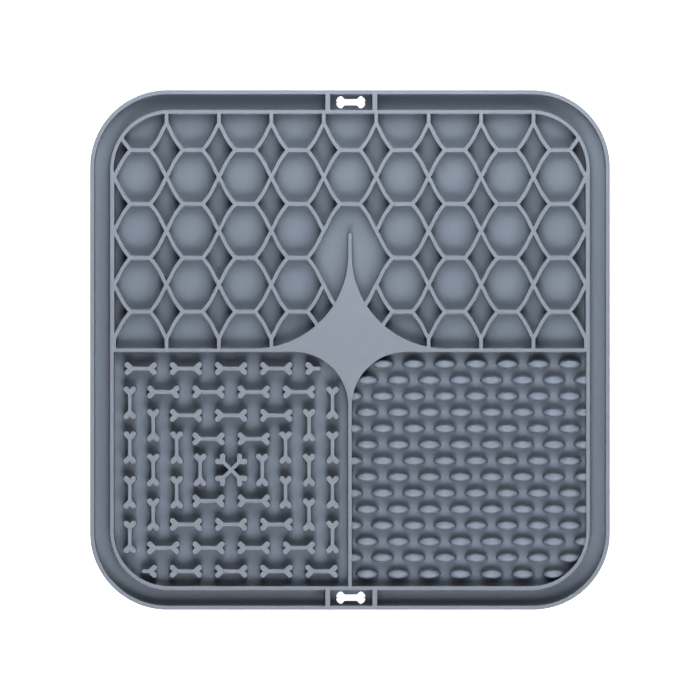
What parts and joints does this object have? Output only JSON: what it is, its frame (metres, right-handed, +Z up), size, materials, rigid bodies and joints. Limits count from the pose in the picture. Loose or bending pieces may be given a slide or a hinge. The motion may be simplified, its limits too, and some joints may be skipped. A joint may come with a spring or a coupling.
{
  "type": "lick mat",
  "caption": "Square silicone lick mat for pets: a raised rim and gutter round fields of honeycomb cells, small bones and oval nubs that meet at a pointed star.",
  "frame": {"origin": "middle of the flat back, on the surface that the mat lies on", "axes": "+Z up out of the textured side, +Y towards the honeycomb edge, +X towards the side of the oval nubs"},
  "size_m": [0.2, 0.2, 0.008],
  "materials": {
    "silicone": "matt moulded silicone rubber, blue-grey"
  },
  "bodies": {
    "root": {"mat": "silicone", "hang_tab_top": "silicone", "hang_tab_bottom": "silicone"}
  },
  "joints": []
}
